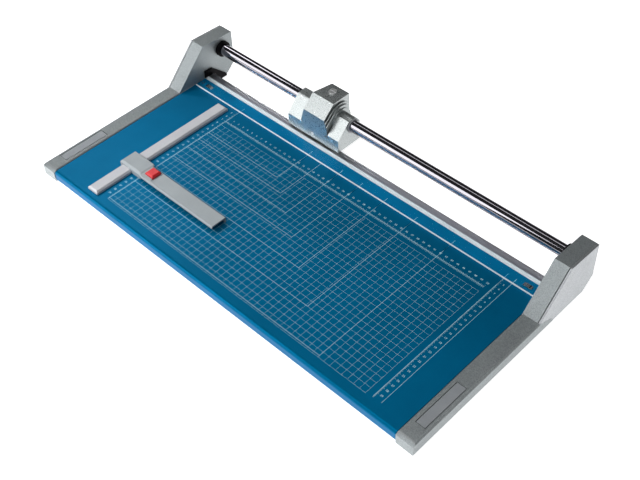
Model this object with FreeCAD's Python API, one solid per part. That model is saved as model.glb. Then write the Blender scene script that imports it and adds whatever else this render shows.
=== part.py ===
"""Rotary paper trimmer: sheet-metal table between two die-cast sides, a guide rod with a sliding
cutting head, a lifting clear clamp strip along the cut and a sliding backstop with a red lock button.

Millimetres. +X along the cut, +Y away from the user, +Z up. The origin is the middle of the footprint."""

import FreeCAD
import Part
import math
import os

os.makedirs("parts", exist_ok=True)
V = FreeCAD.Vector

# ---- driving dimensions ----------------------------------------------------------------------------------
TABLE_WIDTH = 670.0          # clear width between the two side castings
BOARD_GAP = 0.9              # seam between the blue sheet and each side rail
SIDE_WIDTH = 27.0            # each side casting, cover included
DEPTH = 364.0                # front of the rails to the rear of the housings
TABLE_TOP = 22.0             # working surface above the desk
RAIL_TOP = 23.2              # low rails stand a little proud of the table
HOUSING_FRONT_TOP = 81.5     # top of the tall housings, front and rear end
HOUSING_REAR_TOP = 78.5
FOOT_HEIGHT = 3.0
SHEET = 1.5                  # table sheet
WALL = 3.0                   # casting walls
COVER_THICKNESS = 3.8

ROD_RADIUS = 9.5
ROD_Y = 159.0
ROD_Z = 59.0
BUFFER_LENGTH = 6.0

BAR_FRONT_Y = 118.0          # cutter bar: its rear edge is the cutting edge
BAR_REAR_Y = 136.0
BAR_THICKNESS = 4.0

STRIP_FRONT_Y = 95.0
STRIP_REAR_Y = 133.0
STRIP_GAP = 1.5              # lifted strip above the table
STRIP_THICKNESS = 2.0
STRIP_PIN_X = 326.0
STRIP_PIN_Y = 107.0

HEAD_X = -98.0               # middle of the cutting head at rest
HEAD_LEFT = -152.0
HEAD_RIGHT = -48.0
HEAD_FRONT_Y = 127.0
HEAD_REAR_Y = 174.0
HEAD_BOTTOM = 26.0
HEAD_TOP = 91.0
BLOCK_LEFT = -118.0           # tall middle block
BLOCK_RIGHT = -76.0
HEAD_WALL = 2.0

BLADE_RADIUS = 19.0
BLADE_THICKNESS = 1.4
BLADE_DIP = 3.0              # blade edge below the table top
BLADE_GAP = 0.1              # blade face to cutter bar
AXLE_RADIUS = 4.0
RUNNING = 0.05               # radial clearance of every turning or sliding fit
ROLLER_RADIUS = 6.0
ROLLER_OFFSET = 38.0

STOP_RAIL_LEFT = -268.0
STOP_RAIL_RIGHT = -247.0
STOP_RAIL_FRONT = -169.0
STOP_RAIL_REAR = 87.0
STOP_RAIL_HEIGHT = 6.0
ARM_FRONT = -106.5
ARM_REAR = -79.8
ARM_RIGHT = -69.0
ARM_TOP = 31.5
ARM_LIP = 4.0                # height of the lip along the arm's front
HUB_TOP = 33.0
HUB_LEFT = -271.5
HUB_RIGHT = -226.0
BUTTON_X = -213.5
BUTTON_Y = -90.5

HALF_TABLE = TABLE_WIDTH / 2
HALF_WIDTH = HALF_TABLE + SIDE_WIDTH
HALF_DEPTH = DEPTH / 2
COVER_X = HALF_WIDTH - COVER_THICKNESS
BLADE_Z = TABLE_TOP - BLADE_DIP + BLADE_RADIUS
BLADE_Y = BAR_REAR_Y + BLADE_GAP
STRIP_BOTTOM = TABLE_TOP + STRIP_GAP
STRIP_TOP = STRIP_BOTTOM + STRIP_THICKNESS
ROLLER_Z = STRIP_TOP + 0.3 + ROLLER_RADIUS
BAR_SCREWS = [-300.0, -150.0, 0.0, 150.0, 300.0]
STOP_SCREWS = [-160.0, -42.0, 66.0]
STOP_MIDDLE = (STOP_RAIL_LEFT + STOP_RAIL_RIGHT) / 2


# ---- helpers ---------------------------------------------------------------------------------------------
def box(x0, y0, z0, x1, y1, z1):
    return Part.makeBox(x1 - x0, y1 - y0, z1 - z0, V(x0, y0, z0))


def rod(x, y, z, radius, length, axis):
    """Cylinder from a point along a unit axis."""
    return Part.makeCylinder(radius, length, V(x, y, z), V(*axis))


def tube(x, y, z, outer, inner, length, axis):
    return rod(x, y, z, outer, length, axis).cut(rod(x, y, z, inner, length, axis))


def prism(points, start, length, axis):
    """Outline extruded along X (outline in y, z), Y (outline in x, z) or Z (outline in x, y)."""
    place = {
        "x": lambda a, b: V(start, a, b),
        "y": lambda a, b: V(a, start, b),
        "z": lambda a, b: V(a, b, start),
    }[axis]
    corners = [place(a, b) for a, b in points]
    face = Part.Face(Part.makePolygon(corners + corners[:1]))
    reach = {"x": V(length, 0, 0), "y": V(0, length, 0), "z": V(0, 0, length)}[axis]
    return face.extrude(reach)


def join(shapes):
    first = shapes[0]
    rest = shapes[1:]
    return first.multiFuse(rest).removeSplitter() if rest else first


def mirror_x(shape):
    return shape.mirror(V(0, 0, 0), V(1, 0, 0))


def save(name, shape):
    shape.exportStep(f"parts/{name}.step")


def save_pair(stem, right_shape):
    """A right-hand piece and its mirror image."""
    save(f"right_{stem}", right_shape)
    save(f"left_{stem}", mirror_x(right_shape))


def slotted_screw(x, y, z, head_radius, head_height, shank_radius, shank_length, slot):
    """Cheese-head screw pointing down: z is the underside of its head."""
    head = rod(x, y, z, head_radius, head_height, (0, 0, 1))
    edge = min(0.4, head_height / 3)
    head = head.makeChamfer(edge, [head.Edges[0]])
    shank = rod(x, y, z - shank_length, shank_radius, shank_length, (0, 0, 1))
    top = z + head_height
    groove = box(x - head_radius, y - slot / 2, top - 1.0, x + head_radius, y + slot / 2, top)
    return join([head, shank]).cut(groove)


def socket_screw_up(x, y, z, head_radius, head_height, shank_radius, shank_length):
    """Cap screw driven upwards: z is the underside of the part it clamps."""
    head = rod(x, y, z - head_height, head_radius, head_height, (0, 0, 1))
    shank = rod(x, y, z, shank_radius, shank_length, (0, 0, 1))
    recess = prism(hexagon(x, y, head_radius * 0.5), z - head_height, head_height * 0.6, "z")
    return join([head, shank]).cut(recess)


def hexagon(a, b, radius):
    """Six corners around a point."""
    angles = [math.radians(60 * i) for i in range(6)]
    return [(a + radius * math.cos(angle), b + radius * math.sin(angle)) for angle in angles]


def leaf_spring(x, y, z, half_length, width, rise, leaf):
    """Bowed strip of spring steel along X, resting on its two ends at height z."""
    front = y - width / 2
    ends = [x - half_length, x + half_length]
    low = Part.Arc(V(ends[0], front, z), V(x, front, z + rise), V(ends[1], front, z)).toShape()
    top = z + leaf
    high = Part.Arc(V(ends[1], front, top), V(x, front, top + rise), V(ends[0], front, top)).toShape()
    left = Part.makeLine(V(ends[0], front, top), V(ends[0], front, z))
    right = Part.makeLine(V(ends[1], front, z), V(ends[1], front, top))
    return Part.Face(Part.Wire([low, right, high, left])).extrude(V(0, width, 0))


# ---- side castings ---------------------------------------------------------------------------------------
SLOPE_FOOT = (64.0, RAIL_TOP)
SLOPE_HEAD = (121.0, HOUSING_FRONT_TOP)
REAR_TOP = (HALF_DEPTH, HOUSING_REAR_TOP)
REAR_LOW = (HALF_DEPTH, 20.5)
HEEL = (162.0, FOOT_HEIGHT)
HOUSING_OUTLINE = [(64.0, FOOT_HEIGHT), SLOPE_FOOT, SLOPE_HEAD, REAR_TOP, REAR_LOW, HEEL]
COVER_OUTLINE = [(97.0, FOOT_HEIGHT), (90.0, 12.0), SLOPE_FOOT, SLOPE_HEAD, REAR_TOP, REAR_LOW, HEEL]
HOLLOW_OUTLINE = [
    (72.0, 3.0),
    (72.0, 24.0),
    (124.0, 77.5),
    (178.5, 75.2),
    (178.5, 22.0),
    (162.0, 6.5),
    (150.0, 3.0),
]
COVER_PEGS = [(110.0, 48.0), (165.0, 35.0)]
FOOT_SPOTS = [-160.0, 140.0]
LEDGE_SCREWS = [-164.0, -80.0, -10.0, 50.0]
FRONT_CHANNEL = (-150.0, -110.0)
FOOT_X = HALF_TABLE + SIDE_WIDTH / 2
INLAY_FRONT = -154.5
INLAY_LENGTH = 79.0
INLAY_WIDTH = 16.0
INLAY_X = HALF_TABLE + 14.0


def side_casting():
    rail_section = [
        (HALF_TABLE, FOOT_HEIGHT),
        (HALF_TABLE, RAIL_TOP - 1.2),
        (HALF_TABLE + 1.4, RAIL_TOP),
        (HALF_WIDTH - 2.0, RAIL_TOP),
        (HALF_WIDTH, RAIL_TOP - 2.5),
        (HALF_WIDTH, FOOT_HEIGHT),
    ]
    rail = prism(rail_section, -HALF_DEPTH, HALF_DEPTH + 70.0, "y")
    front = -HALF_DEPTH
    bevel = [(front, RAIL_TOP - 3.5), (front + 6.5, RAIL_TOP + 0.01), (front, RAIL_TOP + 1.0)]
    rail = rail.cut(prism(bevel, HALF_TABLE, SIDE_WIDTH, "x"))
    housing = prism(HOUSING_OUTLINE, HALF_TABLE, SIDE_WIDTH, "x")
    body = join([rail, housing])
    body = body.cut(prism(COVER_OUTLINE, COVER_X, COVER_THICKNESS, "x"))
    rail_hollow = box(HALF_TABLE + WALL, -HALF_DEPTH + WALL, FOOT_HEIGHT, HALF_WIDTH - WALL, 66.0, 19.0)
    housing_hollow = prism(HOLLOW_OUTLINE, HALF_TABLE + WALL, COVER_X - HALF_TABLE - WALL, "x")
    body = body.cut(rail_hollow).cut(housing_hollow)
    pillars = [rod(FOOT_X, y, FOOT_HEIGHT, 8.0, 17.0, (0, 0, 1)) for y in FOOT_SPOTS]
    for y in FOOT_SPOTS:
        pillars.append(box(HALF_TABLE + 1.0, y - 3.0, FOOT_HEIGHT, FOOT_X, y + 3.0, FOOT_HEIGHT + 17.0))
    pegs = [rod(HALF_TABLE + 1.0, y, z, 5.5, 16.0, (1, 0, 0)) for y, z in COVER_PEGS]
    boss = rod(HALF_TABLE, ROD_Y, ROD_Z, 13.0, 15.0, (1, 0, 0))
    ledge = box(HALF_TABLE - 8.0, -HALF_DEPTH + 6.0, 16.0, HALF_TABLE + 1.0, 64.0, TABLE_TOP - SHEET)
    ledge = ledge.cut(box(0, FRONT_CHANNEL[0], 0, HALF_TABLE, FRONT_CHANNEL[1], TABLE_TOP))
    body = join([body, boss, ledge] + pillars + pegs)
    body = body.cut(rod(HALF_TABLE - 1.0, ROD_Y, ROD_Z, ROD_RADIUS, 17.0, (1, 0, 0)))
    for y in FOOT_SPOTS:
        body = body.cut(rod(FOOT_X, y, FOOT_HEIGHT, 3.0, 7.0, (0, 0, 1)))
    for y, z in COVER_PEGS:
        body = body.cut(rod(HALF_TABLE + 7.0, y, z, 3.0, 14.0, (1, 0, 0)))
    for y in LEDGE_SCREWS:
        body = body.cut(rod(HALF_TABLE - 4.0, y, 15.0, 1.8, 6.0, (0, 0, 1)))
    pocket = box(
        INLAY_X - INLAY_WIDTH / 2,
        INLAY_FRONT,
        RAIL_TOP - 2.0,
        INLAY_X + INLAY_WIDTH / 2,
        INLAY_FRONT + INLAY_LENGTH,
        RAIL_TOP,
    )
    return body.cut(pocket)


def outer_cover():
    """Side plate with a stepped front edge, so that a fine shadow line follows the housing's slope."""
    plate = prism(COVER_OUTLINE, COVER_X, COVER_THICKNESS, "x")
    run = SLOPE_HEAD[0] - SLOPE_FOOT[0]
    rise = SLOPE_HEAD[1] - SLOPE_FOOT[1]
    step = 2.4
    length = math.hypot(run, rise)
    inward = (step * rise / length, -step * run / length)
    band = [
        SLOPE_FOOT,
        SLOPE_HEAD,
        (SLOPE_HEAD[0] + inward[0], SLOPE_HEAD[1] + inward[1]),
        (SLOPE_FOOT[0] + inward[0], SLOPE_FOOT[1] + inward[1]),
    ]
    plate = plate.cut(prism(band, COVER_X, 1.2, "x"))
    peg_start = HALF_TABLE + 9.0
    pegs = [rod(peg_start, y, z, 3.0 - RUNNING, COVER_X - peg_start, (1, 0, 0)) for y, z in COVER_PEGS]
    return join([plate] + pegs)


def rail_inlay():
    gap = 1.1
    return box(
        INLAY_X - INLAY_WIDTH / 2 + gap,
        INLAY_FRONT + gap,
        RAIL_TOP - 2.0,
        INLAY_X + INLAY_WIDTH / 2 - gap,
        INLAY_FRONT + INLAY_LENGTH - gap,
        RAIL_TOP - 0.2,
    )


def end_plate():
    """Thin dark plate on the inner wall that closes the end of the cutter bar."""
    sill = TABLE_TOP + 0.3
    behind = BAR_REAR_Y + 0.3
    outline = [
        (BAR_FRONT_Y, sill),
        (BAR_FRONT_Y, 36.0),
        (BAR_REAR_Y - 2.0, 34.5),
        (161.0, 9.0),
        (161.0, 5.0),
        (behind, 5.0),
        (behind, sill),
    ]
    return prism(outline, HALF_TABLE - 3.5, 3.5, "x")


save_pair("side_casting", side_casting())
save_pair("outer_cover", outer_cover())
save_pair("rail_inlay", rail_inlay())
save_pair("end_plate", end_plate())

feet = []
for side in (-1, 1):
    for y in FOOT_SPOTS:
        pad = rod(side * FOOT_X, y, 0, 8.0, FOOT_HEIGHT, (0, 0, 1))
        stem = rod(side * FOOT_X, y, FOOT_HEIGHT, 3.0 - RUNNING, 6.0, (0, 0, 1))
        feet.append(join([pad, stem]))
save("rubber_feet", Part.makeCompound(feet))


# ---- table -----------------------------------------------------------------------------------------------
def table_board():
    """Sheet with a rolled front edge that turns down and back, and a short rear flange."""
    outer = 5.0
    inner = outer - SHEET
    front = -HALF_DEPTH + 0.8
    drop = TABLE_TOP - 13.0
    rear = BAR_FRONT_Y - 0.3
    end = HALF_TABLE - BOARD_GAP
    top = box(-end, front + outer, TABLE_TOP - SHEET, end, rear, TABLE_TOP)
    roll = rod(-end, front + outer, TABLE_TOP - outer, outer, 2 * end, (1, 0, 0))
    roll = roll.cut(rod(-end, front + outer, TABLE_TOP - outer, inner, 2 * end, (1, 0, 0)))
    quarter = box(-end, front, TABLE_TOP - outer, end, front + outer, TABLE_TOP)
    roll = roll.common(quarter)
    apron = box(-end, front, drop, end, front + SHEET, TABLE_TOP - outer)
    hem = box(-end, front, drop - SHEET, end, front + 10.0, drop)
    flange = box(-end, rear - SHEET, TABLE_TOP - 3.8, end, rear, TABLE_TOP - SHEET)
    sheet = join([top, roll, apron, hem, flange])
    for side in (-1, 1):
        sheet = sheet.cut(rod(side * STRIP_PIN_X, STRIP_PIN_Y, TABLE_TOP - 3, 1.5, 5.0, (0, 0, 1)))
    for y in STOP_SCREWS:
        sheet = sheet.cut(rod(STOP_MIDDLE, y, TABLE_TOP - 3, 1.6, 5.0, (0, 0, 1)))
    return sheet


def cross_channel(y0, y1, top):
    """Inverted U channel that carries the table between the castings."""
    length = HALF_TABLE
    outer = box(-length, y0, FOOT_HEIGHT + 3.0, length, y1, top)
    inner = box(-length, y0 + 2.0, FOOT_HEIGHT + 3.0, length, y1 - 2.0, top - 2.0)
    return outer.cut(inner)


def cutter_bar():
    length = HALF_TABLE
    bar = box(-length, BAR_FRONT_Y, TABLE_TOP - BAR_THICKNESS, length, BAR_REAR_Y, TABLE_TOP)
    for x in BAR_SCREWS:
        bar = bar.cut(rod(x, BAR_FRONT_Y + 7.0, TABLE_TOP - BAR_THICKNESS, 1.6, 3.0, (0, 0, 1)))
    return bar


REAR_CHANNEL_TOP = TABLE_TOP - BAR_THICKNESS
rear_channel = cross_channel(100.0, BAR_REAR_Y - 1.5, REAR_CHANNEL_TOP)
for screw_x in BAR_SCREWS:
    screw_hole = rod(screw_x, BAR_FRONT_Y + 7.0, REAR_CHANNEL_TOP - 2.5, 1.8, 3.0, (0, 0, 1))
    rear_channel = rear_channel.cut(screw_hole)
save("table_board", table_board())
save("front_cross_channel", cross_channel(*FRONT_CHANNEL, TABLE_TOP - SHEET))
save("rear_cross_channel", rear_channel)
save("cutter_bar", cutter_bar())
bar_screws = [
    socket_screw_up(x, BAR_FRONT_Y + 7.0, REAR_CHANNEL_TOP - 2.0, 3.0, 2.5, 1.55, 4.6) for x in BAR_SCREWS
]
save("cutter_bar_screws", Part.makeCompound(bar_screws))

board_screws = []
for side in (-1, 1):
    for y in LEDGE_SCREWS:
        board_screws.append(socket_screw_up(side * (HALF_TABLE - 4.0), y, 16.0, 3.0, 2.5, 1.75, 4.5))
save("board_screws", Part.makeCompound(board_screws))


# ---- guide rod -------------------------------------------------------------------------------------------
ROD_END = HALF_TABLE + 13.0


def guide_rod():
    bar = rod(-ROD_END, ROD_Y, ROD_Z, ROD_RADIUS, 2 * ROD_END, (1, 0, 0))
    bar = bar.makeChamfer(0.8, [edge for edge in bar.Edges if edge.Closed and edge.Length > 20])
    for side in (-1, 1):
        bar = bar.cut(rod(side * ROD_END, ROD_Y, ROD_Z, 3.0, 14.0, (-side, 0, 0)))
    return bar


def end_bolt(side):
    washer_face = side * (HALF_TABLE + 17.0)
    head = prism(hexagon(ROD_Y, ROD_Z, 5.7), washer_face, side * 3.4, "x")
    shank = rod(washer_face, ROD_Y, ROD_Z, 2.95, 14.0, (-side, 0, 0))
    return join([head, shank])


save("guide_rod", guide_rod())
save("rod_end_bolts", Part.makeCompound([end_bolt(-1), end_bolt(1)]))
washers = [tube(side * (HALF_TABLE + 15.0), ROD_Y, ROD_Z, 10.5, 3.2, 2.0, (side, 0, 0)) for side in (-1, 1)]
save("rod_end_washers", Part.makeCompound(washers))


def buffer_ring():
    ring = tube(HALF_TABLE - BUFFER_LENGTH, ROD_Y, ROD_Z, 13.0, ROD_RADIUS, BUFFER_LENGTH, (1, 0, 0))
    return ring


save_pair("buffer_ring", buffer_ring())


# ---- clamp strip -----------------------------------------------------------------------------------------
def clamp_strip():
    """Clear strip: thin front flap, a low rib and a thicker rear band under the head's rollers."""
    thin = 1.2
    outline = [
        (STRIP_FRONT_Y, STRIP_BOTTOM),
        (STRIP_FRONT_Y, STRIP_BOTTOM + thin + 0.6),
        (STRIP_FRONT_Y + 1.2, STRIP_BOTTOM + thin + 0.6),
        (STRIP_FRONT_Y + 1.8, STRIP_BOTTOM + thin),
        (116.5, STRIP_BOTTOM + thin),
        (117.5, STRIP_TOP),
        (STRIP_REAR_Y, STRIP_TOP),
        (STRIP_REAR_Y, STRIP_BOTTOM),
    ]
    length = HALF_TABLE - 4.5
    strip = prism(outline, -length, 2 * length, "x")
    for side in (-1, 1):
        hole_x = side * STRIP_PIN_X
        strip = strip.cut(rod(hole_x, STRIP_PIN_Y, STRIP_BOTTOM - 1, 1.5 + RUNNING, 5.0, (0, 0, 1)))
    return strip


def strip_pin(side):
    stem = rod(side * STRIP_PIN_X, STRIP_PIN_Y, TABLE_TOP - SHEET - 2.0, 1.5, 7.5, (0, 0, 1))
    cap = rod(side * STRIP_PIN_X, STRIP_PIN_Y, STRIP_BOTTOM + 1.6, 3.2, 1.4, (0, 0, 1))
    return join([stem, cap])


def strip_spring(side):
    """Bowed leaf that lifts one end of the strip."""
    return leaf_spring(side * (STRIP_PIN_X - 14.0), STRIP_PIN_Y, TABLE_TOP, 7.0, 6.0, STRIP_GAP - 0.35, 0.3)


save("clamp_strip", clamp_strip())
save("strip_guide_pins", Part.makeCompound([strip_pin(-1), strip_pin(1)]))
save("strip_springs", Part.makeCompound([strip_spring(-1), strip_spring(1)]))


# ---- cutting head ----------------------------------------------------------------------------------------
BUSH_RADIUS = 11.2
RIGHT_WING = BLOCK_RIGHT + 6.5
CHAMBER_RADIUS = BLADE_RADIUS + 0.7
SCREW_POSTS = [HEAD_X - 42.0, HEAD_X + 42.0]
SCREW_Y = 147.8
TOP_SCREW_X = HEAD_X + 2.0
TOP_SCREW_Y = 168.0
CHASSIS_Y = 141.0
INDEX_X = HEAD_X - 3.0
INDEX_Z = 34.0
INDEX_RADIUS = 2.6
BLOCK_SLOPE_FOOT = (HEAD_FRONT_Y, 72.0)
BLOCK_SLOPE_HEAD = (148.0, HEAD_TOP)


def guard_rib(offset, radius):
    """Rib beside the middle block: straight along the block's slope, then round over the rod."""
    x = BLOCK_RIGHT + offset
    thickness = 1.2
    run = BLOCK_SLOPE_HEAD[0] - BLOCK_SLOPE_FOOT[0]
    rise = BLOCK_SLOPE_HEAD[1] - BLOCK_SLOPE_FOOT[1]
    length = math.hypot(run, rise)
    touch = (ROD_Y - radius * rise / length, ROD_Z + radius * run / length)
    foot = (HEAD_FRONT_Y, touch[1] - (touch[0] - HEAD_FRONT_Y) * rise / run)
    outline = [(HEAD_FRONT_Y, HEAD_BOTTOM), foot, touch, (ROD_Y, ROD_Z), (ROD_Y, HEAD_BOTTOM)]
    disc = rod(x, ROD_Y, ROD_Z, radius, thickness, (1, 0, 0))
    keep = box(x, HEAD_FRONT_Y, HEAD_BOTTOM, x + thickness, HEAD_REAR_Y, HEAD_TOP)
    return join([disc.common(keep), prism(outline, x, thickness, "x")])


def front_flare(edge, reach, depth):
    """Low corner where the front of the middle block widens downwards."""
    corners = [(edge, 71.0), (edge + reach, 47.0), (edge, 44.0)]
    return prism(corners, HEAD_FRONT_Y, depth, "y")


def head_housing():
    block = prism(
        [
            (HEAD_FRONT_Y, HEAD_BOTTOM),
            BLOCK_SLOPE_FOOT,
            BLOCK_SLOPE_HEAD,
            (HALF_DEPTH, HEAD_TOP),
            (HALF_DEPTH, 52.0),
            (HEAD_REAR_Y, 44.0),
            (HEAD_REAR_Y, HEAD_BOTTOM),
        ],
        BLOCK_LEFT,
        BLOCK_RIGHT - BLOCK_LEFT,
        "x",
    )
    taper = [(BLOCK_LEFT, BLOCK_SLOPE_HEAD[0]), (BLOCK_LEFT + 7.0, HALF_DEPTH), (BLOCK_LEFT, HALF_DEPTH)]
    block = block.cut(prism(taper, HEAD_BOTTOM, HEAD_TOP, "z"))
    left_wing = prism(
        [
            (HEAD_FRONT_Y, HEAD_BOTTOM),
            (HEAD_FRONT_Y, 45.5),
            (149.0, 69.5),
            (152.0, 71.5),
            (166.0, 71.5),
            (HEAD_REAR_Y, 63.0),
            (HEAD_REAR_Y, HEAD_BOTTOM),
        ],
        HEAD_LEFT,
        BLOCK_LEFT + 8.0 - HEAD_LEFT,
        "x",
    )
    right_wing = prism(
        [
            (HEAD_FRONT_Y, HEAD_BOTTOM),
            (HEAD_FRONT_Y, 48.0),
            (150.5, 71.0),
            (165.0, 71.0),
            (HEAD_REAR_Y, 61.0),
            (HEAD_REAR_Y, HEAD_BOTTOM),
        ],
        RIGHT_WING,
        HEAD_RIGHT - RIGHT_WING,
        "x",
    )
    neck = prism(
        [(HEAD_FRONT_Y, HEAD_BOTTOM), (HEAD_FRONT_Y, 42.0), (HEAD_REAR_Y, 42.0), (HEAD_REAR_Y, HEAD_BOTTOM)],
        BLOCK_RIGHT,
        RIGHT_WING - BLOCK_RIGHT,
        "x",
    )
    pieces = [block, left_wing, right_wing, neck]
    pieces += [front_flare(BLOCK_LEFT, -7.0, 18.0), front_flare(BLOCK_RIGHT, 6.0, 3.0)]
    pieces.append(rod(BLOCK_RIGHT, ROD_Y, ROD_Z, 18.5, RIGHT_WING - BLOCK_RIGHT, (1, 0, 0)))
    pieces += [guard_rib(1.4, 27.0), guard_rib(3.8, 23.5)]
    rib_back = rod(BLOCK_RIGHT, ROD_Y, ROD_Z, 23.5, 5.0, (1, 0, 0))
    behind = box(BLOCK_RIGHT, 147.0, ROD_Z, RIGHT_WING, HEAD_REAR_Y, HEAD_TOP)
    pieces.append(rib_back.common(behind))
    pieces.append(rod(RIGHT_WING, ROD_Y, ROD_Z, 13.0, HEAD_RIGHT - RIGHT_WING, (1, 0, 0)))
    head = join(pieces)
    pocket = box(
        HEAD_LEFT + HEAD_WALL,
        HEAD_FRONT_Y + HEAD_WALL,
        HEAD_BOTTOM - 1.0,
        HEAD_RIGHT - HEAD_WALL,
        HEAD_REAR_Y - HEAD_WALL,
        43.0,
    )
    chamber_front = HEAD_FRONT_Y + HEAD_WALL
    chamber_depth = CHASSIS_Y + 8.6 - chamber_front
    chamber = rod(HEAD_X, chamber_front, BLADE_Z, CHAMBER_RADIUS, chamber_depth, (0, 1, 0))
    head = head.cut(pocket).cut(chamber)
    posts = [box(x - 4.5, SCREW_Y - 4.0, 36.8, x + 4.5, SCREW_Y + 4.0, 44.0) for x in SCREW_POSTS]
    boss = rod(HEAD_X, HEAD_FRONT_Y + 1.0, BLADE_Z, 6.5, 2.6, (0, 1, 0))
    head = join([head, boss] + posts)
    head = head.cut(rod(HEAD_LEFT - 1, ROD_Y, ROD_Z, BUSH_RADIUS, 120.0, (1, 0, 0)))
    head = head.cut(rod(HEAD_X, HEAD_FRONT_Y + 1.5, BLADE_Z, AXLE_RADIUS, 5.0, (0, 1, 0)))
    head = head.cut(rod(TOP_SCREW_X, TOP_SCREW_Y, 71.0, 4.0, 30.0, (0, 0, 1)))
    head = head.cut(rod(INDEX_X, HEAD_FRONT_Y - 1.0, INDEX_Z, INDEX_RADIUS, 2.2, (0, 1, 0)))
    for x in SCREW_POSTS:
        head = head.cut(rod(x, SCREW_Y, 36.0, 1.5, 7.0, (0, 0, 1)))
    return head


def head_chassis():
    """Steel bracket inside the head that carries the blade axle and the two roller pins."""
    foot = box(HEAD_X - 47.0, CHASSIS_Y, 28.0, HEAD_X + 47.0, CHASSIS_Y + 4.0, 36.8)
    shelf = box(HEAD_X - 47.0, CHASSIS_Y, 34.8, HEAD_X + 47.0, CHASSIS_Y + 10.5, 36.8)
    tower = box(HEAD_X - 13.0, CHASSIS_Y, 30.0, HEAD_X + 13.0, CHASSIS_Y + 4.0, 50.0)
    plate = join([foot, shelf, tower])
    plate = plate.cut(rod(HEAD_X, CHASSIS_Y - 1, BLADE_Z, AXLE_RADIUS, 6.0, (0, 1, 0)))
    plate = plate.cut(box(HEAD_X - 8.5, CHASSIS_Y + 4.0, 28.0, HEAD_X + 8.5, CHASSIS_Y + 12.0, 52.0))
    for x in SCREW_POSTS:
        plate = plate.cut(rod(x, SCREW_Y, 34.0, 1.5, 4.0, (0, 0, 1)))
    for side in (-1, 1):
        plate = plate.cut(rod(HEAD_X + side * ROLLER_OFFSET, CHASSIS_Y - 1, ROLLER_Z, 2.0, 6.0, (0, 1, 0)))
    return plate


def slide_bush(x0, length, flange_x, flange_length):
    sleeve = tube(x0, ROD_Y, ROD_Z, BUSH_RADIUS, ROD_RADIUS + RUNNING, length, (1, 0, 0))
    flange = tube(flange_x, ROD_Y, ROD_Z, BUSH_RADIUS + 0.5, ROD_RADIUS + RUNNING, flange_length, (1, 0, 0))
    return join([sleeve, flange])


save("head_housing", head_housing())
save("head_chassis", head_chassis())
save("left_slide_bush", slide_bush(HEAD_LEFT, 26.0, HEAD_LEFT - 1.0, 1.0))
save("right_slide_bush", slide_bush(HEAD_RIGHT - 24.0, 24.0, HEAD_RIGHT, 1.5))
save("top_screw", slotted_screw(TOP_SCREW_X, TOP_SCREW_Y, HEAD_TOP, 6.5, 1.8, 3.95, 17.0, 1.6))
save("index_pin", rod(INDEX_X, HEAD_FRONT_Y - 0.5, INDEX_Z, INDEX_RADIUS, 1.7, (0, 1, 0)))
chassis_screws = [socket_screw_up(x, SCREW_Y, 34.8, 2.6, 2.4, 1.45, 7.0) for x in SCREW_POSTS]
save("chassis_screws", Part.makeCompound(chassis_screws))

axle_front = HEAD_FRONT_Y + 1.5
axle = rod(HEAD_X, axle_front, BLADE_Z, AXLE_RADIUS, CHASSIS_Y + 9.0 - axle_front, (0, 1, 0))
save("blade_axle", axle.makeChamfer(0.5, [axle.Edges[2]]))
nut = prism(hexagon(HEAD_X, BLADE_Z, 7.5), CHASSIS_Y + 4.0, 4.0, "y")
save("axle_nut", nut.cut(rod(HEAD_X, CHASSIS_Y + 3.0, BLADE_Z, AXLE_RADIUS, 6.0, (0, 1, 0))))
save("spring_washer", tube(HEAD_X, CHASSIS_Y - 0.8, BLADE_Z, 7.0, AXLE_RADIUS + 0.1, 0.8, (0, 1, 0)))
roller_pins = []
for side in (-1, 1):
    pin_x = HEAD_X + side * ROLLER_OFFSET
    roller_pins.append(rod(pin_x, HEAD_FRONT_Y + HEAD_WALL + 0.2, ROLLER_Z, 2.0, 15.0, (0, 1, 0)))
save("roller_pins", Part.makeCompound(roller_pins))


def cutting_blade():
    """Disc with a ground bevel on its rear side."""
    disc = rod(HEAD_X, BLADE_Y, BLADE_Z, BLADE_RADIUS, BLADE_THICKNESS, (0, 1, 0))
    edge = 0.2
    bevel_start = V(HEAD_X, BLADE_Y + edge, BLADE_Z)
    ring = Part.makeCone(BLADE_RADIUS, BLADE_RADIUS - 2.2, BLADE_THICKNESS - edge, bevel_start, V(0, 1, 0))
    plate = rod(HEAD_X, BLADE_Y, BLADE_Z, BLADE_RADIUS, edge, (0, 1, 0))
    disc = disc.common(join([ring, plate]))
    return disc.cut(rod(HEAD_X, BLADE_Y - 1, BLADE_Z, 6.0, 4.0, (0, 1, 0)))


def blade_hub():
    back = BLADE_Y + BLADE_THICKNESS
    flange = rod(HEAD_X, BLADE_Y - 3.0, BLADE_Z, 9.0, 3.0, (0, 1, 0))
    core = rod(HEAD_X, BLADE_Y - 5.0, BLADE_Z, 6.0, back + 2.2 - (BLADE_Y - 5.0), (0, 1, 0))
    return join([flange, core]).cut(rod(HEAD_X, BLADE_Y - 6, BLADE_Z, AXLE_RADIUS + RUNNING, 20.0, (0, 1, 0)))


save("cutting_blade", cutting_blade())
save("blade_hub", blade_hub())
for side, name in ((-1, "left"), (1, "right")):
    x = HEAD_X + side * ROLLER_OFFSET
    roller = tube(x, HEAD_FRONT_Y + HEAD_WALL + 0.5, ROLLER_Z, ROLLER_RADIUS, 2.0 + RUNNING, 4.5, (0, 1, 0))
    save(f"{name}_pressure_roller", roller)


# ---- backstop --------------------------------------------------------------------------------------------
RAIL_GAP = 0.3
ARM_BOTTOM = TABLE_TOP + 0.5
BUTTON_HALF = 8.3
ARM_SCREWS = [-236.0, -230.0]
ARM_MIDDLE = (ARM_FRONT + ARM_REAR) / 2
TONGUE_LEFT = -240.0
TONGUE_TOP = ARM_BOTTOM + 5.0


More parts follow.
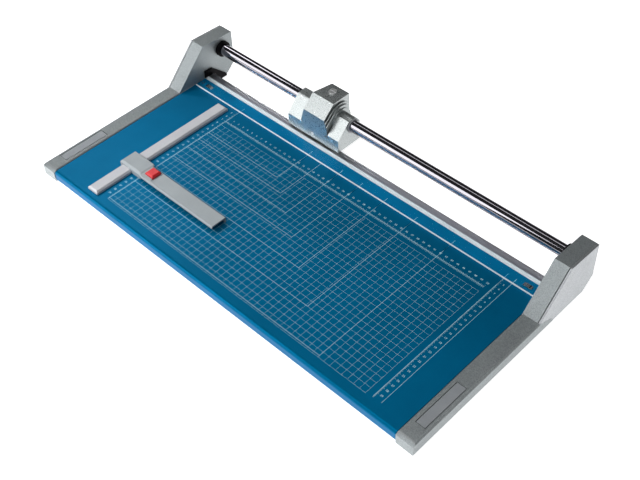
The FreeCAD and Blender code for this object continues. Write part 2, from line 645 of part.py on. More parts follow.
def backstop_rail():
    top = TABLE_TOP + STOP_RAIL_HEIGHT
    section = [
        (STOP_RAIL_LEFT, TABLE_TOP),
        (STOP_RAIL_LEFT, top - 2.5),
        (STOP_RAIL_LEFT + 2.5, top),
        (STOP_RAIL_RIGHT - 2.5, top),
        (STOP_RAIL_RIGHT, top - 2.5),
        (STOP_RAIL_RIGHT, TABLE_TOP),
    ]
    bar = prism(section, STOP_RAIL_FRONT, STOP_RAIL_REAR - STOP_RAIL_FRONT, "y")
    for y, reach in ((STOP_RAIL_FRONT, 2.5), (STOP_RAIL_REAR, -2.5)):
        out = y - reach
        wedge = [(y, top - 2.5), (y + reach, top), (y + reach, top + 1), (out, top + 1), (out, top - 2.5)]
        bar = bar.cut(prism(wedge, STOP_RAIL_LEFT, STOP_RAIL_RIGHT - STOP_RAIL_LEFT, "x"))
    for y in STOP_SCREWS:
        bar = bar.cut(rod(STOP_MIDDLE, y, TABLE_TOP, 1.6, 5.0, (0, 0, 1)))
    return bar


def arm_slider():
    """Block that straddles the backstop rail and carries the arm."""
    hub = prism(
        [
            (HUB_LEFT, ARM_BOTTOM),
            (HUB_LEFT, HUB_TOP - 2),
            (HUB_LEFT + 2, HUB_TOP),
            (HUB_RIGHT - 3, HUB_TOP),
            (HUB_RIGHT, ARM_TOP),
            (HUB_RIGHT, ARM_BOTTOM),
        ],
        ARM_FRONT + 1.0,
        ARM_REAR - ARM_FRONT + 1.0,
        "y",
    )
    ramp = [(ARM_FRONT, HUB_TOP - 4.0), (ARM_FRONT + 4.5, HUB_TOP + 0.01), (ARM_FRONT, HUB_TOP + 1)]
    hub = hub.cut(prism(ramp, HUB_LEFT, HUB_RIGHT - HUB_LEFT, "x"))
    top = TABLE_TOP + STOP_RAIL_HEIGHT
    tunnel = [
        (STOP_RAIL_LEFT - RAIL_GAP, TABLE_TOP),
        (STOP_RAIL_LEFT - RAIL_GAP, top - 2.3),
        (STOP_RAIL_LEFT + 2.4, top + RAIL_GAP),
        (STOP_RAIL_RIGHT - 2.4, top + RAIL_GAP),
        (STOP_RAIL_RIGHT + RAIL_GAP, top - 2.3),
        (STOP_RAIL_RIGHT + RAIL_GAP, TABLE_TOP),
    ]
    hub = hub.cut(prism(tunnel, ARM_FRONT - 2, ARM_REAR - ARM_FRONT + 6, "y"))
    hub = hub.cut(box(TONGUE_LEFT, ARM_MIDDLE - 8.0, ARM_BOTTOM - 1, HUB_RIGHT, ARM_MIDDLE + 8.0, TONGUE_TOP))
    hub = hub.cut(brake_shoe())
    for x in ARM_SCREWS:
        hub = hub.cut(rod(x, ARM_MIDDLE, TONGUE_TOP - 1, 1.5, 4.0, (0, 0, 1)))
    return hub


def brake_shoe():
    """Pad let into the slider that rubs on the rail's side."""
    left = STOP_RAIL_RIGHT + 0.15
    return box(left, ARM_MIDDLE - 5.0, TABLE_TOP + 1.5, left + 2.0, ARM_MIDDLE + 5.0, TABLE_TOP + 5.0)


def arm_bar():
    """Bar over the table: a top plate, a rear wall and a short front lip, with a well for the button."""
    lip_bottom = ARM_TOP - ARM_LIP
    section = [
        (ARM_FRONT + 4.5, ARM_BOTTOM),
        (ARM_FRONT + 4.5, lip_bottom),
        (ARM_FRONT, lip_bottom),
        (ARM_FRONT, ARM_TOP - 2.0),
        (ARM_FRONT + 1.6, ARM_TOP),
        (ARM_REAR - 1.0, ARM_TOP),
        (ARM_REAR, ARM_TOP - 1.0),
        (ARM_REAR, ARM_BOTTOM),
    ]
    bar = prism(section, HUB_RIGHT, ARM_RIGHT - HUB_RIGHT, "x")
    tongue = box(TONGUE_LEFT, ARM_MIDDLE - 8.0, ARM_BOTTOM, HUB_RIGHT, ARM_MIDDLE + 8.0, TONGUE_TOP)
    for x in ARM_SCREWS:
        tongue = tongue.cut(rod(x, ARM_MIDDLE, ARM_BOTTOM - 1, 1.5, 8.0, (0, 0, 1)))
        tongue = tongue.cut(rod(x, ARM_MIDDLE, ARM_BOTTOM - 1, 2.7, 3.2, (0, 0, 1)))
    bar = join([bar, tongue])
    hollow = box(BUTTON_X + 14.0, ARM_FRONT + 2.2, ARM_BOTTOM, ARM_RIGHT + 1.0, ARM_REAR - 2.2, ARM_TOP - 2.4)
    bar = bar.cut(hollow)
    dish_x = BUTTON_X + BUTTON_HALF
    dish = [(dish_x, ARM_TOP + 0.1), (dish_x, ARM_TOP - 1.6), (dish_x + 20.0, ARM_TOP + 0.1)]
    bar = bar.cut(prism(dish, ARM_FRONT + 4.5, ARM_REAR - ARM_FRONT - 6.5, "y"))
    well = box(
        BUTTON_X - BUTTON_HALF - 0.4,
        BUTTON_Y - BUTTON_HALF - 0.4,
        ARM_BOTTOM + 2.0,
        BUTTON_X + BUTTON_HALF + 0.4,
        BUTTON_Y + BUTTON_HALF + 0.4,
        ARM_TOP + 1,
    )
    bar = bar.cut(well)
    return bar.cut(rod(BUTTON_X, BUTTON_Y, ARM_BOTTOM - 1, 2.0 + RUNNING, 6.0, (0, 0, 1)))


def lock_button():
    """Red push button: a truncated pyramid on a square skirt, with a stem below."""
    skirt_top = ARM_TOP + 1.6
    skirt_low = ARM_BOTTOM + 6.0
    skirt = box(
        BUTTON_X - BUTTON_HALF,
        BUTTON_Y - BUTTON_HALF,
        skirt_low,
        BUTTON_X + BUTTON_HALF,
        BUTTON_Y + BUTTON_HALF,
        skirt_top,
    )
    wires = []
    signs = ((-1, -1), (1, -1), (1, 1), (-1, 1))
    for half, z in ((BUTTON_HALF, skirt_top), (BUTTON_HALF - 2.2, skirt_top + 2.0)):
        corners = [V(BUTTON_X + i * half, BUTTON_Y + j * half, z) for i, j in signs]
        wires.append(Part.makePolygon(corners + corners[:1]))
    cap = Part.makeLoft(wires, True, True)
    stem = rod(BUTTON_X, BUTTON_Y, ARM_BOTTOM + 1.7, 2.0, skirt_low - ARM_BOTTOM - 1.2, (0, 0, 1))
    return join([skirt, cap, stem])


def button_spring():
    """Bowed leaf under the button's skirt, with a hole for the stem."""
    leaf = leaf_spring(BUTTON_X, BUTTON_Y, ARM_BOTTOM + 2.05, 6.5, 9.0, 3.4, 0.35)
    return leaf.cut(rod(BUTTON_X, BUTTON_Y, ARM_BOTTOM, 2.4, 10.0, (0, 0, 1)))


save("backstop_rail", backstop_rail())
stop_screws = [
    socket_screw_up(STOP_MIDDLE, y, TABLE_TOP - SHEET, 3.0, 2.5, 1.55, 5.5) for y in STOP_SCREWS
]
save("backstop_rail_screws", Part.makeCompound(stop_screws))
save("arm_slider", arm_slider())
save("brake_shoe", brake_shoe())
arm_screws = [socket_screw_up(x, ARM_MIDDLE, ARM_BOTTOM + 2.2, 2.5, 2.0, 1.45, 5.0) for x in ARM_SCREWS]
save("arm_screws", Part.makeCompound(arm_screws))
save("arm_bar", arm_bar())
save("lock_button", lock_button())
save("button_spring", button_spring())
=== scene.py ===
"""Looks of the rotary paper trimmer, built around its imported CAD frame.

Metres, in the frame of the CAD: +X along the cut, +Y away from the user, +Z up, origin at the middle of the
footprint. The printed grid has its own origin at the corner where the backstop meets the cut."""

import math

import bpy
import bmesh
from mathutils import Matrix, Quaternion, Vector


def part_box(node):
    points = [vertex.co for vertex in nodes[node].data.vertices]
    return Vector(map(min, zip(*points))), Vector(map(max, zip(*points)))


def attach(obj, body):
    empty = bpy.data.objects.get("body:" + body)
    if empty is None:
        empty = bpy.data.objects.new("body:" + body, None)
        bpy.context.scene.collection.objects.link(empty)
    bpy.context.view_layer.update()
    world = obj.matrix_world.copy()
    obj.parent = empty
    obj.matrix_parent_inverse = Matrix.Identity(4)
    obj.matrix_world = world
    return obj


MM = 0.001

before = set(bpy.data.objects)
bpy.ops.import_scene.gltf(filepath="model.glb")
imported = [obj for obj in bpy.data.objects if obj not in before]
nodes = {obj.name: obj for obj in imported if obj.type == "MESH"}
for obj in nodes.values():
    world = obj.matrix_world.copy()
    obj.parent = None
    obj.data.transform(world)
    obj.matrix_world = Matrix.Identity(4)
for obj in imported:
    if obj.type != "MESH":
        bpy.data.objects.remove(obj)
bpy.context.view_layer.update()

bar_low, bar_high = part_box("cutter_bar")
STRIP_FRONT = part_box("clamp_strip")[0].y
TABLE_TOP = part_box("table_board")[1].z
GRID_X = -230 * MM           # where the printed zero line stands along the cut
GRID_Y = bar_high.y + 1 * MM  # where the printed depths count from
GRID_WIDTH = 500
GRID_DEPTH = 300


# ---- node helpers ----------------------------------------------------------------------------------------
class Shader:
    """A material with one Principled shader and short calls to build its patterns."""

    def __init__(self, name, colour, roughness, metallic=0.0, **sockets):
        self.material = bpy.data.materials.new(name)
        self.material.use_nodes = True
        self.material.diffuse_color = (*colour, 1.0)
        self.tree = self.material.node_tree
        self.main = self.tree.nodes["Principled BSDF"]
        self.set("Base Color", (*colour, 1.0))
        self.set("Roughness", roughness)
        self.set("Metallic", metallic)
        for socket, value in sockets.items():
            self.set(socket.replace("_", " "), value)
        self.place = self.add("ShaderNodeTexCoord").outputs["Object"]

    def set(self, socket, value):
        self.main.inputs[socket].default_value = value

    def add(self, kind, **settings):
        node = self.tree.nodes.new(kind)
        for key, value in settings.items():
            setattr(node, key, value)
        return node

    def feed(self, socket, source):
        if hasattr(source, "default_value") or hasattr(source, "links"):
            self.tree.links.new(source, socket)
        else:
            socket.default_value = source

    def stretch(self, x, y, z):
        node = self.add("ShaderNodeMapping")
        node.inputs["Scale"].default_value = (x, y, z)
        self.feed(node.inputs["Vector"], self.place)
        return node.outputs["Vector"]

    def noise(self, scale, detail=3.0, rough=0.55, place=None, distortion=0.0):
        node = self.add("ShaderNodeTexNoise")
        node.inputs["Scale"].default_value = scale
        node.inputs["Detail"].default_value = detail
        node.inputs["Roughness"].default_value = rough
        node.inputs["Distortion"].default_value = distortion
        self.feed(node.inputs["Vector"], place or self.place)
        return node.outputs["Fac"]

    def cells(self, scale):
        node = self.add("ShaderNodeTexVoronoi")
        node.inputs["Scale"].default_value = scale
        self.feed(node.inputs["Vector"], self.place)
        return node.outputs["Distance"]

    def math(self, operation, a, b):
        node = self.add("ShaderNodeMath", operation=operation)
        self.feed(node.inputs[0], a)
        self.feed(node.inputs[1], b)
        return node.outputs[0]

    def span(self, source, low, high, out_low=0.0, out_high=1.0):
        """Maps a source range to an output range, with the ends held."""
        node = self.add("ShaderNodeMapRange", clamp=True)
        for socket, value in zip(node.inputs, (source, low, high, out_low, out_high)):
            self.feed(socket, value)
        return node.outputs[0]

    def axis(self, name):
        node = self.add("ShaderNodeSeparateXYZ")
        self.feed(node.inputs[0], self.place)
        return node.outputs[name]

    def mix(self, amount, first, second):
        node = self.add("ShaderNodeMix", data_type="RGBA")
        self.feed(node.inputs[0], amount)
        for socket, colour in ((node.inputs[6], first), (node.inputs[7], second)):
            self.feed(socket, (*colour, 1.0) if isinstance(colour, tuple) else colour)
        return node.outputs[2]

    def worn_edges(self, radius):
        """1 along sharp outer edges, 0 on flat faces, from a rounded normal against the true one."""
        bevel = self.add("ShaderNodeBevel", samples=6)
        bevel.inputs["Radius"].default_value = radius
        true = self.add("ShaderNodeNewGeometry").outputs["True Normal"]
        dot = self.add("ShaderNodeVectorMath", operation="DOT_PRODUCT")
        self.feed(dot.inputs[0], bevel.outputs[0])
        self.feed(dot.inputs[1], true)
        return self.span(dot.outputs["Value"], 0.99, 0.86)

    def bump(self, height, distance, strength=1.0):
        node = self.add("ShaderNodeBump")
        node.inputs["Distance"].default_value = distance
        node.inputs["Strength"].default_value = strength
        self.feed(node.inputs["Height"], height)
        self.feed(self.main.inputs["Normal"], node.outputs[0])

    def colour(self, source):
        self.feed(self.main.inputs["Base Color"], source)

    def rough(self, source):
        self.feed(self.main.inputs["Roughness"], source)


# ---- materials -------------------------------------------------------------------------------------------
def silver_paint(name, light, dark, roughness, metallic, depth=0.14):
    """Cast metal under a fine stippled silver paint, a little rubbed along its edges."""
    s = Shader(name, light, roughness, metallic)
    grain = s.noise(800, 3.0, 0.65)
    flake = s.cells(1500)
    cloud = s.noise(18, 4.0)
    tone = s.math("ADD", s.math("MULTIPLY", grain, 0.85), s.math("MULTIPLY", cloud, 0.15))
    base = s.mix(s.span(tone, 0.4, 0.6), dark, light)
    base = s.mix(s.span(flake, 0.16, 0.05, 0.0, 0.5), base, (0.9, 0.91, 0.92))
    s.colour(s.mix(s.math("MULTIPLY", s.worn_edges(0.5 * MM), 0.45), base, (0.82, 0.83, 0.84)))
    s.rough(s.span(tone, 0.3, 0.7, roughness - 0.06, roughness + 0.08))
    s.bump(s.math("ADD", grain, s.math("MULTIPLY", flake, 0.6)), depth * MM, 0.75)
    return s.material


def blue_paint():
    """Blue satin lacquer on sheet steel: orange peel and faint rub marks."""
    s = Shader("blue_lacquer", (0.0, 0.24, 0.44), 0.33, 0.45)
    s.set("Specular Tint", (0.0, 0.45, 0.8, 1.0))
    cloud = s.noise(9, 5.0, 0.6)
    peel = s.noise(420, 2.0, 0.5)
    scuff = s.noise(60, 6.0, 0.75, s.stretch(1.0, 14.0, 1.0), 0.6)
    base = s.mix(s.span(cloud, 0.3, 0.7), (0.0, 0.125, 0.265), (0.0, 0.155, 0.33))
    s.colour(s.mix(s.span(scuff, 0.63, 0.8, 0.0, 0.16), base, (0.03, 0.33, 0.6)))
    s.rough(s.math("ADD", s.span(scuff, 0.5, 0.8, 0.3, 0.42), s.math("MULTIPLY", cloud, 0.06)))
    s.bump(s.math("ADD", peel, s.math("MULTIPLY", s.noise(2400, 1.0), 0.3)), 0.05 * MM, 0.5)
    return s.material


def moulded(name, light, dark, roughness, grain_scale=1700, depth=0.05, **sockets):
    """Spark-eroded plastic: fine grain, soft clouding, edges polished by handling."""
    s = Shader(name, light, roughness, 0.0, **sockets)
    grain = s.noise(grain_scale, 3.0, 0.6)
    cloud = s.noise(26, 4.0)
    mixed = s.math("ADD", s.math("MULTIPLY", grain, 0.5), s.math("MULTIPLY", cloud, 0.5))
    base = s.mix(s.span(mixed, 0.36, 0.64), dark, light)
    edge = s.worn_edges(0.4 * MM)
    bright = tuple(min(1.0, c * 1.25 + 0.02) for c in light)
    s.colour(s.mix(s.math("MULTIPLY", edge, 0.4), base, bright))
    matte = s.span(grain, 0.3, 0.7, roughness, roughness + 0.12)
    s.rough(s.math("SUBTRACT", matte, s.math("MULTIPLY", edge, 0.1)))
    s.bump(grain, depth * MM, 0.6)
    return s.material


def brushed(name, colour, roughness, lay, scale=900):
    """Ground or drawn steel: streaks along one axis ("x", "y" or "z") with faint stains."""
    s = Shader(name, colour, roughness, 1.0)
    stretch = {"x": (0.03, 1.0, 1.0), "y": (1.0, 0.03, 1.0), "z": (1.0, 1.0, 0.03)}[lay]
    streak = s.noise(scale, 3.0, 0.6, s.stretch(*stretch))
    cloud = s.noise(40, 4.0)
    dark = tuple(c * 0.72 for c in colour)
    s.colour(s.mix(s.span(s.math("ADD", streak, s.math("MULTIPLY", cloud, 0.4)), 0.45, 0.95), dark, colour))
    s.rough(s.span(streak, 0.25, 0.75, roughness * 0.8, roughness * 1.35))
    s.bump(streak, 0.02 * MM, 0.5)
    return s.material


def chrome():
    """Polished guide rod with hair-fine marks from the sliding bushes."""
    s = Shader("polished_rod", (0.4, 0.385, 0.42), 0.06, 1.0)
    hair = s.noise(1400, 2.0, 0.6, s.stretch(0.012, 1.0, 1.0))
    film = s.noise(14, 4.0, 0.6, s.stretch(1.0, 3.0, 3.0))
    s.colour(s.mix(s.span(film, 0.35, 0.7), (0.36, 0.345, 0.38), (0.42, 0.405, 0.44)))
    s.rough(s.math("ADD", s.span(hair, 0.55, 0.75, 0.05, 0.075), s.math("MULTIPLY", film, 0.03)))
    s.bump(hair, 0.002 * MM, 0.1)
    return s.material


def clear_plastic():
    """Clear acrylic that lets the lamps through, with a few long scratches and a dusty haze."""
    s = Shader("clear_acrylic", (0.92, 0.975, 0.985), 0.03, 0.0, IOR=1.14, Transmission_Weight=1.0)
    scratch = s.noise(300, 4.0, 0.7, s.stretch(0.04, 1.0, 1.0))
    haze = s.noise(12, 5.0)
    lip = s.span(s.axis("Y"), STRIP_FRONT + 1.3 * MM, STRIP_FRONT + 1.2 * MM)
    worn = s.math("ADD", s.span(scratch, 0.68, 0.8, 0.02, 0.07), s.span(haze, 0.4, 0.8, 0.0, 0.03))
    s.rough(s.math("ADD", worn, s.math("MULTIPLY", lip, 0.4)))
    s.feed(s.main.inputs["Transmission Weight"], s.span(lip, 0.0, 1.0, 1.0, 0.35))
    s.bump(scratch, 0.005 * MM, 0.1)
    through = s.add("ShaderNodeBsdfTransparent")
    through.inputs["Color"].default_value = (0.9, 0.96, 0.97, 1.0)
    blend = s.add("ShaderNodeMixShader")
    s.feed(blend.inputs[0], s.add("ShaderNodeLightPath").outputs["Is Shadow Ray"])
    s.feed(blend.inputs[1], s.main.outputs[0])
    s.feed(blend.inputs[2], through.outputs[0])
    s.feed(s.tree.nodes["Material Output"].inputs["Surface"], blend.outputs[0])
    return s.material


def knife_bar():
    """Cutter bar streaked along the cut, with painted reflection: the front land is painted pale and the
    land behind it a darker purplish grey.
    """
    s = Shader("bar_steel_painted_reflection", (0.7, 0.69, 0.71), 0.3, 1.0)
    streak = s.noise(1100, 3.0, 0.6, s.stretch(0.02, 1.0, 1.0))
    middle = bar_low.y + (bar_high.y - bar_low.y) * 0.36
    front = s.span(s.axis("Y"), middle + 0.2 * MM, middle - 0.2 * MM)
    # painted reflection: the darker purplish rear land and the pale front land stand in for how the bar
    # reflected its surroundings
    painted_dark_land = s.mix(streak, (0.36, 0.32, 0.34), (0.48, 0.44, 0.46))
    bright = s.mix(streak, (0.6, 0.58, 0.6), (0.7, 0.68, 0.7))
    s.colour(s.mix(front, painted_dark_land, bright))
    s.rough(s.math("ADD", s.span(streak, 0.25, 0.75, 0.26, 0.4), s.math("MULTIPLY", front, 0.12)))
    s.feed(s.main.inputs["Metallic"], s.span(front, 0.0, 1.0, 1.0, 0.25))
    s.bump(streak, 0.02 * MM, 0.5)
    return s.material


def rubber():
    s = Shader("black_rubber", (0.02, 0.02, 0.021), 0.75)
    speck = s.noise(900, 4.0, 0.7)
    s.colour(s.mix(s.span(speck, 0.4, 0.75), (0.012, 0.012, 0.013), (0.045, 0.045, 0.047)))
    s.rough(s.span(speck, 0.3, 0.7, 0.62, 0.85))
    s.bump(speck, 0.08 * MM, 0.6)
    return s.material


def print_ink():
    """Pale cyan screen print, slightly uneven."""
    s = Shader("print_ink", (0.5, 0.9, 1.0), 0.5, Specular_IOR_Level=0.2)
    speck = s.noise(700, 3.0, 0.7)
    s.colour(s.mix(s.span(speck, 0.35, 0.7), (0.45, 0.85, 0.97), (0.65, 0.95, 1.0)))
    s.bump(speck, 0.01 * MM, 0.4)
    return s.material


SILVER = silver_paint("silver_stipple", (0.43, 0.465, 0.475), (0.27, 0.3, 0.31), 0.45, 0.6)
HEAD = silver_paint("head_stipple", (0.54, 0.57, 0.57), (0.38, 0.41, 0.41), 0.29, 0.84, 0.07)
COVER = silver_paint("silver_cover_stipple", (0.6, 0.62, 0.64), (0.42, 0.44, 0.46), 0.42, 0.75)
BLUE = blue_paint()
INLAY = moulded("inlay_grey", (0.33, 0.35, 0.37), (0.25, 0.27, 0.29), 0.45, 1300, 0.08)
LIGHT_GREY = moulded("rail_light_grey", (0.62, 0.63, 0.66), (0.52, 0.53, 0.56), 0.4)
ARM_GREY = moulded("arm_grey", (0.42, 0.46, 0.48), (0.34, 0.375, 0.395), 0.42)
BLACK = moulded(
    "black_moulding", (0.006, 0.006, 0.007), (0.003, 0.003, 0.004), 0.4, Specular_IOR_Level=0.06
)
WHITE = moulded("white_moulding", (0.95, 0.95, 0.94), (0.86, 0.86, 0.85), 0.3)
BUSH = moulded("bush_grey", (0.5, 0.51, 0.53), (0.4, 0.41, 0.43), 0.28)
RED = moulded("button_red", (0.8, 0.035, 0.045), (0.62, 0.02, 0.026), 0.3, 1500, 0.03, Coat_Weight=0.1)
CHROME = chrome()
CLEAR = clear_plastic()
BAR = knife_bar()
RUBBER = rubber()
INK = print_ink()
ZINC = brushed("zinc_plate", (0.62, 0.63, 0.65), 0.34, "x", 500)
SCREW = brushed("screw_steel", (0.85, 0.86, 0.86), 0.5, "x", 1400)
BLADE = brushed("blade_steel", (0.7, 0.71, 0.74), 0.22, "z", 1200)
SPRING = brushed("spring_steel", (0.5, 0.51, 0.53), 0.25, "y", 900)

FINISH = {
    "table_board": BLUE,
    "cutter_bar": BAR,
    "clamp_strip": CLEAR,
    "strip_guide_pins": CLEAR,
    "guide_rod": CHROME,
    "left_side_casting": SILVER,
    "right_side_casting": SILVER,
    "left_outer_cover": COVER,
    "right_outer_cover": COVER,
    "head_housing": HEAD,
    "left_rail_inlay": INLAY,
    "right_rail_inlay": INLAY,
    "left_end_plate": BLACK,
    "right_end_plate": BLACK,
    "left_buffer_ring": BLACK,
    "right_buffer_ring": BLACK,
    "rubber_feet": RUBBER,
    "brake_shoe": RUBBER,
    "left_slide_bush": BLACK,
    "right_slide_bush": BUSH,
    "top_screw": SCREW,
    "index_pin": WHITE,
    "left_pressure_roller": WHITE,
    "right_pressure_roller": WHITE,
    "cutting_blade": BLADE,
    "blade_hub": BLACK,
    "backstop_rail": LIGHT_GREY,
    "arm_slider": ARM_GREY,
    "arm_bar": ARM_GREY,
    "lock_button": RED,
    "strip_springs": SPRING,
    "button_spring": SPRING,
    "spring_washer": SPRING,
    "blade_axle": SCREW,
    "roller_pins": SCREW,
}

EDGE_RADIUS = {
    "left_side_casting": 0.7,
    "right_side_casting": 0.7,
    "left_outer_cover": 0.6,
    "right_outer_cover": 0.6,
    "head_housing": 0.6,
    "arm_bar": 0.5,
    "arm_slider": 0.5,
    "backstop_rail": 0.45,
    "lock_button": 0.6,
    "clamp_strip": 0.15,
    "cutter_bar": 0.15,
    "table_board": 0.2,
}


def dress(name, node):
    """Gives a CAD node its finish, and rounds its outer edges a little, as moulded and cast edges are."""
    material = FINISH.get(name, ZINC)
    node.data.materials.clear()
    node.data.materials.append(material)
    weld = node.modifiers.new("Weld", "WELD")
    weld.merge_threshold = 1e-6
    planar = node.modifiers.new("Planar", "DECIMATE")
    planar.decimate_type = "DISSOLVE"
    planar.angle_limit = math.radians(0.5)
    bevel = node.modifiers.new("Bevel", "BEVEL")
    bevel.width = EDGE_RADIUS.get(name, 0.2) * MM
    bevel.segments = 2
    bevel.limit_method = "ANGLE"
    bevel.angle_limit = math.radians(30)
    normals = node.modifiers.new("Normals", "WEIGHTED_NORMAL")
    normals.keep_sharp = False


for node_name, node_object in nodes.items():
    dress(node_name, node_object)


# ---- printed table ---------------------------------------------------------------------------------------
INK_HEIGHT = 0.03 * MM       # ink stands this far above the table
INK_ROOT = -0.02 * MM
FINE = 0.17                  # widths of the printed lines, in printed millimetres
TICK = 0.2
MEDIUM = 0.38


def table_point(x, y, z=0.0):
    """Printed millimetres (x right of the zero line, y from the cut towards the user) to the frame."""
    return Vector((GRID_X + x * MM, GRID_Y - y * MM, TABLE_TOP + z))


def new_piece(name, mesh_maker, material, body):
    mesh = bpy.data.meshes.new(name)
    shape = bmesh.new()
    mesh_maker(shape)
    bmesh.ops.recalc_face_normals(shape, faces=shape.faces)
    shape.to_mesh(mesh)
    shape.free()
    piece = bpy.data.objects.new(name, mesh)
    bpy.context.scene.collection.objects.link(piece)
    mesh.materials.append(material)
    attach(piece, body)
    return piece


def ink_bar(shape, x0, y0, x1, y1, lift):
    """Thin closed bar of ink between two printed corners."""
    low = table_point(min(x0, x1), max(y0, y1), INK_ROOT)
    high = table_point(max(x0, x1), min(y0, y1), INK_HEIGHT + lift)
    corners = [(x, y, z) for z in (low.z, high.z) for x, y in
               ((low.x, low.y), (high.x, low.y), (high.x, high.y), (low.x, high.y))]
    v = [shape.verts.new(c) for c in corners]
    for ring in ((0, 1, 2, 3), (4, 5, 6, 7), (0, 1, 5, 4), (1, 2, 6, 5), (2, 3, 7, 6), (3, 0, 4, 7)):
        shape.faces.new([v[i] for i in ring])


def across(shape, y, x0, x1, width=FINE):
    ink_bar(shape, x0, y - width / 2, x1, y + width / 2, width * 0.02 * MM)


def along(shape, x, y0, y1, width=FINE):
    ink_bar(shape, x - width / 2, y0, x + width / 2, y1, (width * 0.02 + 0.003) * MM)


GRID_TOP = 80                # first line of the grid, from the cut
RULER_FRONT = 70             # line that the long ruler's ticks stand on
RULER_DIGITS = 61.5
DIGIT_HEIGHT = 4.2
LEFT_DIGITS = -8.5
RIGHT_DIGITS = 517.5
RIGHT_RULER = (510, 524)
SIDE_RULER_START = 30        # side lines begin under the clamp strip
FORMATS = [(420, 297), (353, 250), (297, 210), (250, 176), (210, 148), (176, 125), (148, 105)]


def tick_length(millimetre):
    """Long ticks at whole centimetres, middling ones at the halves."""
    if millimetre % 10 == 0:
        return 3.6
    return 2.6 if millimetre % 5 == 0 else 1.6


def printed_lines(shape):
    for x in range(0, GRID_WIDTH + 1, 10):
        along(shape, x, GRID_TOP, GRID_DEPTH)
    for y in range(GRID_TOP, GRID_DEPTH + 1, 10):
        across(shape, y, 0, GRID_WIDTH)
    for x, y in FORMATS:
        along(shape, x, RULER_FRONT - 32, y, MEDIUM)
        across(shape, y, 0, x, MEDIUM)
    across(shape, RULER_FRONT, 0, GRID_WIDTH, MEDIUM)
    across(shape, RULER_FRONT + 1.6, 0, GRID_WIDTH, FINE)
    for x in range(0, GRID_WIDTH + 1):
        along(shape, x, RULER_FRONT - tick_length(x), RULER_FRONT, TICK)
    for x in RIGHT_RULER:
        along(shape, x, SIDE_RULER_START, GRID_DEPTH - 2, MEDIUM)
    for y in range(40, GRID_DEPTH - 1):
        tick = tick_length(y)
        across(shape, y, RIGHT_RULER[0], RIGHT_RULER[0] + tick, TICK)
        across(shape, y, -tick, 0, TICK)
    along(shape, 0, SIDE_RULER_START, GRID_DEPTH, MEDIUM)
    for x in (0, 148, 210, 250, 297, 353, 420, 510):
        along(shape, x, SIDE_RULER_START, 55, MEDIUM)


def digits(name, marks, height, body):
    """One piece of raised ink from many numbers: marks are (text, x, y)."""
    total = bmesh.new()
    for text, x, y in marks:
        curve = bpy.data.curves.new("digit", "FONT")
        curve.body = text
        curve.size = height * MM
        curve.align_x = "CENTER"
        curve.align_y = "CENTER"
        curve.resolution_u = 2
        curve.extrude = (INK_HEIGHT - INK_ROOT) / 2
        word = bpy.data.objects.new("digit", curve)
        word.location = table_point(x, y, (INK_HEIGHT + INK_ROOT) / 2 + 0.008 * MM)
        bpy.context.scene.collection.objects.link(word)
        bpy.context.view_layer.update()
        mesh = bpy.data.meshes.new_from_object(word)
        mesh.transform(word.matrix_world)
        total.from_mesh(mesh)
        bpy.data.objects.remove(word)
        bpy.data.curves.remove(curve)
        bpy.data.meshes.remove(mesh)
    mesh = bpy.data.meshes.new(name)
    total.to_mesh(mesh)
    total.free()
    mesh.materials.append(INK)
    piece = bpy.data.objects.new(name, mesh)
    bpy.context.scene.collection.objects.link(piece)
    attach(piece, body)
    return piece


new_piece("printed_grid", printed_lines, INK, "table")
ruler_marks = [(str(x), x * 10, RULER_DIGITS) for x in range(1, 51)]
ruler_marks += [(str(y), RIGHT_DIGITS, y * 10) for y in range(5, 30)]
ruler_marks += [(str(y), LEFT_DIGITS, y * 10) for y in range(5, 30)]
digits("ruler_numbers", ruler_marks, DIGIT_HEIGHT, "table")


# ---- studio ----------------------------------------------------------------------------------------------
def studio_floor():
    size = 6.0
    mesh = bpy.data.meshes.new("floor")
    corners = [(-size, -size, 0), (size, -size, 0), (size, size, 0), (-size, size, 0)]
    mesh.from_pydata(corners, [], [(0, 1, 2, 3)])
    floor = bpy.data.objects.new("floor", mesh)
    bpy.context.scene.collection.objects.link(floor)
    s = Shader("floor_paper", (0.92, 0.92, 0.92), 0.9, Specular_IOR_Level=0.1, Emission_Strength=0.85)
    s.set("Emission Color", (1.0, 1.0, 1.0, 1.0))
    s.colour(s.mix(s.noise(3, 3.0), (0.91, 0.91, 0.91), (0.93, 0.93, 0.93)))
    mesh.materials.append(s.material)


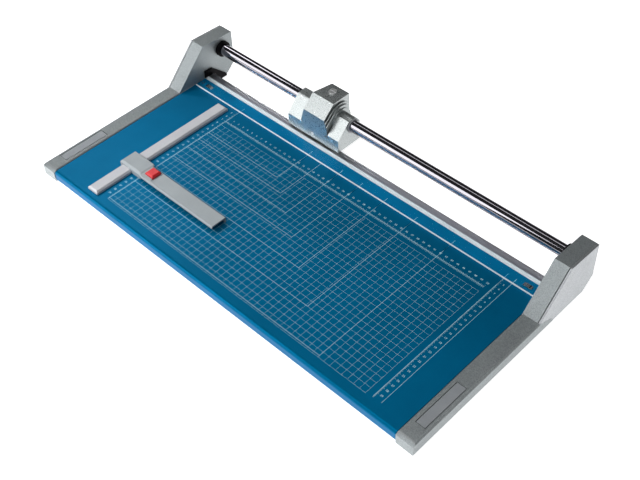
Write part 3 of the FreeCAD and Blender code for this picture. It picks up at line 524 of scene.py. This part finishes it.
def area_light(name, place, target, width, height, power):
    light = bpy.data.lights.new(name, "AREA")
    light.shape = "RECTANGLE"
    light.size = width
    light.size_y = height
    light.energy = power
    lamp = bpy.data.objects.new(name, light)
    lamp.location = place
    lamp.rotation_euler = (Vector(target) - Vector(place)).to_track_quat("-Z", "Y").to_euler()
    bpy.context.scene.collection.objects.link(lamp)
    return lamp


def studio_world():
    """Dim, nearly even surroundings: the lamps and the bright floor do the work."""
    world = bpy.data.worlds.new("studio")
    bpy.context.scene.world = world
    world.use_nodes = True
    background = world.node_tree.nodes["Background"]
    background.inputs["Color"].default_value = (0.9, 0.97, 1.0, 1.0)
    background.inputs["Strength"].default_value = 0.035


def camera():
    data = bpy.data.cameras.new("camera")
    data.sensor_width = 36.0
    data.lens = 60.4
    eye = bpy.data.objects.new("camera", data)
    azimuth = math.radians(45.77)
    elevation = math.radians(46.36)
    roll = math.radians(2.48)
    level = math.cos(elevation)
    back = Vector((math.sin(azimuth) * level, -math.cos(azimuth) * level, math.sin(elevation)))
    eye.location = (0.7818, -0.7265, 1.0893)
    eye.rotation_mode = "QUATERNION"
    eye.rotation_quaternion = Quaternion(back, -roll) @ (-back).to_track_quat("-Z", "Y")
    bpy.context.scene.collection.objects.link(eye)
    bpy.context.scene.camera = eye


studio_floor()
studio_world()
key = area_light("key_lamp", (-1.1, -0.75, 0.9), (-0.25, 0.0, 0.0), 0.2, 0.2, 12.5)
key.visible_glossy = False
area_light("front_panel", (-1.25, -1.35, 1.15), (-1.25, 0.0, 1.15), 1.55, 1.7, 21)
area_light("roof_panel", (-1.95, 0.8, 1.8), (-1.95, 0.8, 0.0), 0.9, 0.5, 5)
area_light("rod_line", (-0.7, 0.84, 1.8), (-0.7, 0.84, 0.0), 1.1, 0.24, 1.5)
area_light("fill_panel", (0.6, -1.7, 1.5), (0.0, 0.0, 0.0), 1.0, 0.8, 6)
area_light("top_panel", (0.2, -0.7, 2.0), (0.1, 0.0, 0.0), 0.9, 0.7, 12)
bpy.context.scene.view_settings.view_transform = "Standard"
camera()
